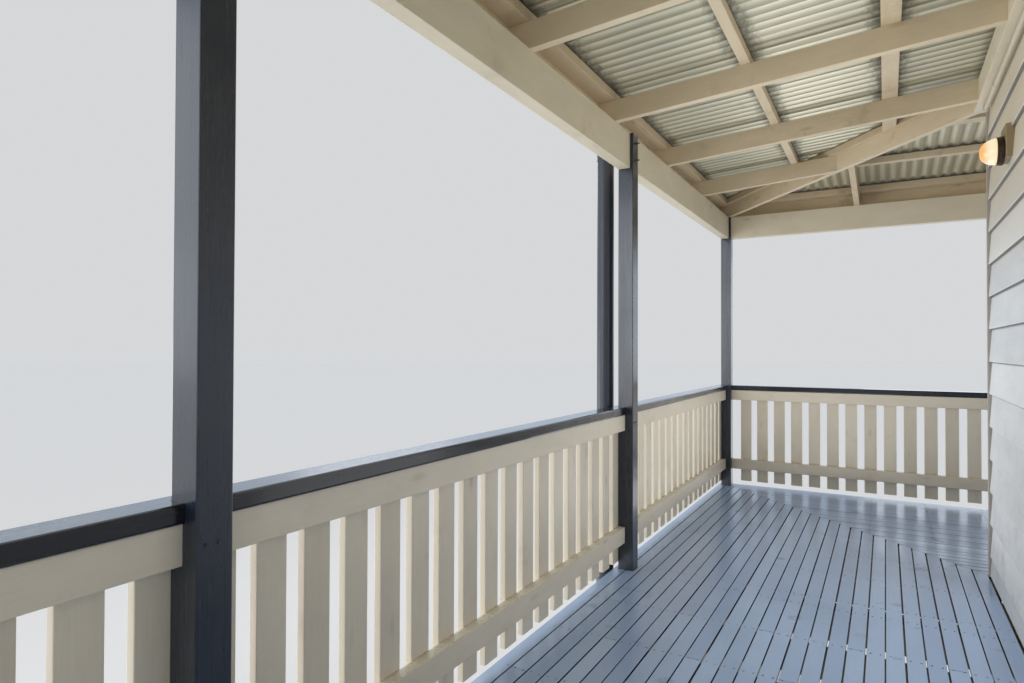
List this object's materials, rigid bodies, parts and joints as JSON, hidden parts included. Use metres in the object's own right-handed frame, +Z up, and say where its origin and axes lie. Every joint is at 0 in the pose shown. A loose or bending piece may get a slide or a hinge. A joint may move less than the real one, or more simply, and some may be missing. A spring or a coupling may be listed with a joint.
{
  "type": "wraparound timber veranda",
  "caption": "Raised timber veranda that wraps round the corner of a weatherboard beach house, with picket balustrade, deck, hipped sheet roof, gutter and wall lamp.",
  "frame": {"origin": "on the ground under the middle of the plan's bounding box", "axes": "+Z up, +Y along the long arm from its cut end to the corner, +X along the short arm away from the corner"},
  "size_m": [6.2, 8.975, 5.7319],
  "materials": {
    "dark_timber": "dark paint, satin",
    "raw_timber": "treated timber, bare",
    "pale_timber": "pale paint, satin",
    "roof_timber": "old pale paint",
    "deck_paint": "gloss deck paint",
    "board_paint": "pale paint, satin",
    "sheet_metal": "weathered, matt",
    "gutter_metal": "satin",
    "pipe_metal": "satin",
    "conduit": "matt",
    "lamp_metal": "dark, matt",
    "lamp_glass": "frosted"
  },
  "bodies": {
    "root": {"house_stumps": "raw_timber", "house_bearers": "raw_timber", "deck_bearers": "raw_timber", "deck_joists": "raw_timber", "mitre_joist": "raw_timber", "deck_edge_boards": "dark_timber", "long_deck_boards": "deck_paint", "short_deck_boards": "deck_paint", "corner_post": "dark_timber", "second_post": "dark_timber", "third_post": "dark_timber", "long_end_post": "dark_timber", "short_middle_post": "dark_timber", "short_end_post": "dark_timber", "long_beam": "pale_timber", "short_beam": "pale_timber", "long_panel_1": "pale_timber", "long_panel_2": "pale_timber", "long_panel_3": "pale_timber", "short_panel_1": "pale_timber", "short_panel_2": "pale_timber", "long_handrails": "dark_timber", "short_handrails": "dark_timber", "hip_rafter": "roof_timber", "rafters": "roof_timber", "roof_battens": "roof_timber", "hip_battens": "roof_timber", "ledgers": "roof_timber", "eaves_fascias": "roof_timber", "long_gutter": "gutter_metal", "short_gutter": "gutter_metal", "downpipe": "pipe_metal", "long_roof_sheets": "sheet_metal", "short_roof_sheets": "sheet_metal", "hip_capping": "sheet_metal", "long_wall": "raw_timber", "short_wall": "raw_timber", "long_weatherboards": "board_paint", "short_weatherboards": "board_paint", "corner_stop": "board_paint", "conduit": "conduit", "lamp_block": "pale_timber", "lamp_base": "lamp_metal", "lamp_glass": "lamp_glass"}
  },
  "joints": []
}
